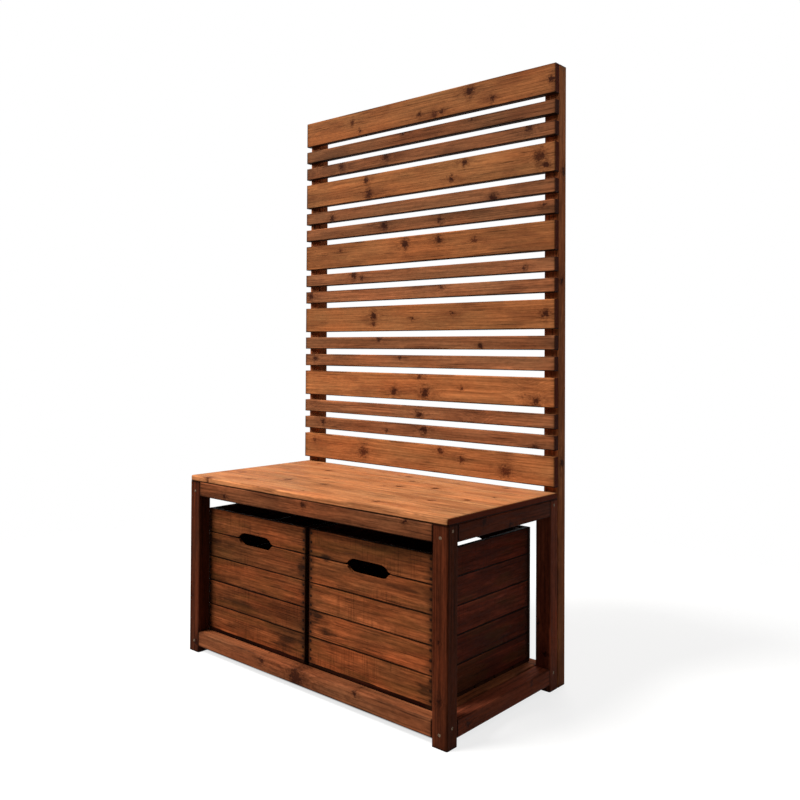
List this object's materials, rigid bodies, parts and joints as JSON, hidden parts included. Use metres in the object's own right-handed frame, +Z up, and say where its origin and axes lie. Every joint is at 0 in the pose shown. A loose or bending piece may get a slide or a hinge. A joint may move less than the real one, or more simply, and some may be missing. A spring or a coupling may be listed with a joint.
{
  "type": "bench with privacy screen",
  "caption": "Wooden storage bench with a tall slatted privacy screen behind the seat and open board crates that slide out from under it.",
  "frame": {"origin": "on the floor under the middle of the whole object's outline", "axes": "+X along the bench, to the right as seen from the front; the front looks towards -Y; +Z up"},
  "size_m": [0.82, 0.502, 1.5],
  "materials": {
    "frame_wood": "brown stained pine, planed, satin",
    "post_wood": "brown stained pine, planed, satin",
    "seat_wood": "light orange stained pine boards, planed smooth",
    "wide_slat_wood": "orange-brown stained pine with dark knots",
    "narrow_slat_wood": "brown stained pine",
    "crate_wood": "weathered rough-sawn softwood, stained",
    "dowel_wood": "plain beech",
    "screw_steel": "zinc plated",
    "nail_steel": "dark, rusted"
  },
  "bodies": {
    "bench": {"frame_dowels": "dowel_wood", "frame_screws": "screw_steel", "front_bottom_rail": "frame_wood", "front_left_leg": "frame_wood", "front_right_leg": "frame_wood", "front_top_rail": "frame_wood", "left_bottom_rail": "frame_wood", "left_crate_left_runner": "frame_wood", "left_crate_right_runner": "frame_wood", "left_post": "post_wood", "left_top_rail": "frame_wood", "rear_bottom_rail": "frame_wood", "rear_left_leg": "frame_wood", "rear_right_leg": "frame_wood", "rear_top_rail": "frame_wood", "right_bottom_rail": "frame_wood", "right_crate_left_runner": "frame_wood", "right_crate_right_runner": "frame_wood", "right_post": "post_wood", "right_top_rail": "frame_wood", "screen_screws": "screw_steel", "screen_slat_01": "wide_slat_wood", "screen_slat_02": "narrow_slat_wood", "screen_slat_03": "narrow_slat_wood", "screen_slat_04": "wide_slat_wood", "screen_slat_05": "narrow_slat_wood", "screen_slat_06": "narrow_slat_wood", "screen_slat_07": "wide_slat_wood", "screen_slat_08": "narrow_slat_wood", "screen_slat_09": "narrow_slat_wood", "screen_slat_10": "wide_slat_wood", "screen_slat_11": "narrow_slat_wood", "screen_slat_12": "narrow_slat_wood", "screen_slat_13": "wide_slat_wood", "screen_slat_14": "narrow_slat_wood", "screen_slat_15": "narrow_slat_wood", "screen_slat_16": "wide_slat_wood", "seat_bearer": "frame_wood", "seat_board_1": "seat_wood", "seat_board_2": "seat_wood", "seat_board_3": "seat_wood", "seat_board_4": "seat_wood", "seat_board_5": "seat_wood", "seat_screws": "screw_steel"},
    "left_crate": {"left_crate_back_boards": "crate_wood", "left_crate_corner_battens": "crate_wood", "left_crate_floor_boards": "crate_wood", "left_crate_front_boards": "crate_wood", "left_crate_left_side_boards": "crate_wood", "left_crate_nails": "nail_steel", "left_crate_right_side_boards": "crate_wood"},
    "right_crate": {"right_crate_back_boards": "crate_wood", "right_crate_corner_battens": "crate_wood", "right_crate_floor_boards": "crate_wood", "right_crate_front_boards": "crate_wood", "right_crate_left_side_boards": "crate_wood", "right_crate_nails": "nail_steel", "right_crate_right_side_boards": "crate_wood"}
  },
  "joints": [
    {"name": "left_crate_slide", "type": "slide", "parent": "bench", "child": "left_crate", "axis": [0, -1, 0], "range_m": [0, 0.3]},
    {"name": "right_crate_slide", "type": "slide", "parent": "bench", "child": "right_crate", "axis": [0, -1, 0], "range_m": [0, 0.3]}
  ]
}
